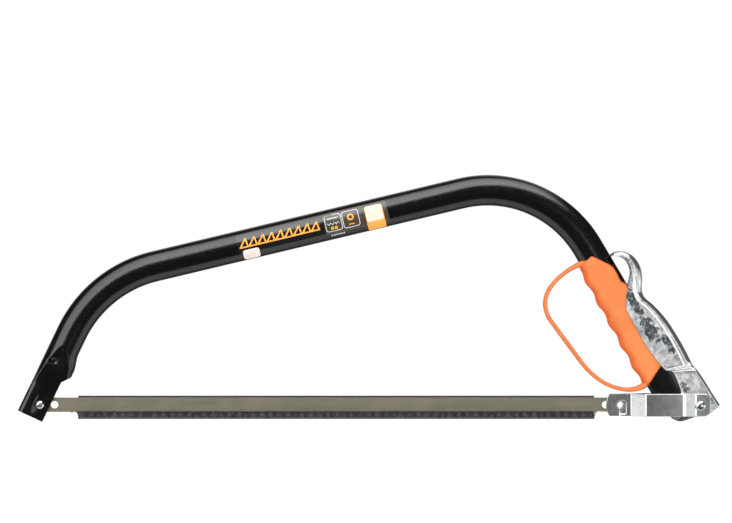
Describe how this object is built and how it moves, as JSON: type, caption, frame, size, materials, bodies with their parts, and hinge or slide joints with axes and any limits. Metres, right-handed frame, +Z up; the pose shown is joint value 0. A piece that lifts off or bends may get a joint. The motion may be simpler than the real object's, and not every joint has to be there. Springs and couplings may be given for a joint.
{
  "type": "bow saw",
  "caption": "Tubular steel bow saw with a knuckle-guard grip, an over-centre tensioning lever and link, a toothed blade and a clip-on blade guard.",
  "frame": {"origin": "midway between the two blade pins, in the blade's plane, on the flat underside of the blade guard", "axes": "+X from the front leg to the handle, +Z up from the blade to the tube, Y across the saw with the near side at -Y"},
  "size_m": [0.6409, 0.0292, 0.2255],
  "materials": {
    "frame_paint": "black gloss paint",
    "grip_plastic": "orange moulded plastic, satin",
    "zinc_sheet": "zinc-plated pressed sheet with a mottled spangle",
    "bright_steel": "bright plated steel",
    "blade_steel": "olive-grey lacquered spring steel",
    "smoked_plastic": "smoked translucent plastic",
    "label_film": "glossy printed film",
    "white_sticker": "matt paper",
    "orange_sticker": "matt printed paper"
  },
  "bodies": {
    "frame": {"frame_tube": "frame_paint", "grip": "grip_plastic", "front_pin_screw": "bright_steel", "front_pin_washer": "bright_steel", "front_pin_nut": "bright_steel", "lever_pivot_bush": "bright_steel", "frame_label": "label_film", "small_sticker": "white_sticker", "rear_sticker": "orange_sticker"},
    "lever": {"tension_lever": "zinc_sheet", "lever_pivot_pin": "bright_steel"},
    "blade": {"saw_blade": "blade_steel"},
    "link": {"link_plate_near": "zinc_sheet", "link_plate_far": "zinc_sheet", "blade_hook_pin": "bright_steel", "link_rivet": "bright_steel", "link_spacer": "bright_steel"},
    "guard": {"blade_guard": "smoked_plastic"}
  },
  "joints": [
    {"name": "lever_open", "type": "hinge", "parent": "frame", "child": "lever", "pos_m": [0.32, 0, 0.0106], "axis": [0, 1, 0], "range_deg": [0, 70]},
    {"name": "blade_swing", "type": "hinge", "parent": "frame", "child": "blade", "pos_m": [-0.265, 0, 0.013], "axis": [0, 1, 0], "range_deg": [0, 5.6]},
    {"name": "link_swing", "type": "hinge", "parent": "blade", "child": "link", "pos_m": [0.265, 0, 0.013], "axis": [0, 1, 0], "range_deg": [-32, 0]},
    {"name": "guard_slide", "type": "slide", "parent": "blade", "child": "guard", "axis": [0, 0, -1], "range_m": [0, 0.03]}
  ],
  "couplings": [
    {"joint": "blade_swing", "follows": "lever_open", "ratio": 0.079},
    {"joint": "link_swing", "follows": "lever_open", "ratio": -0.4547}
  ]
}
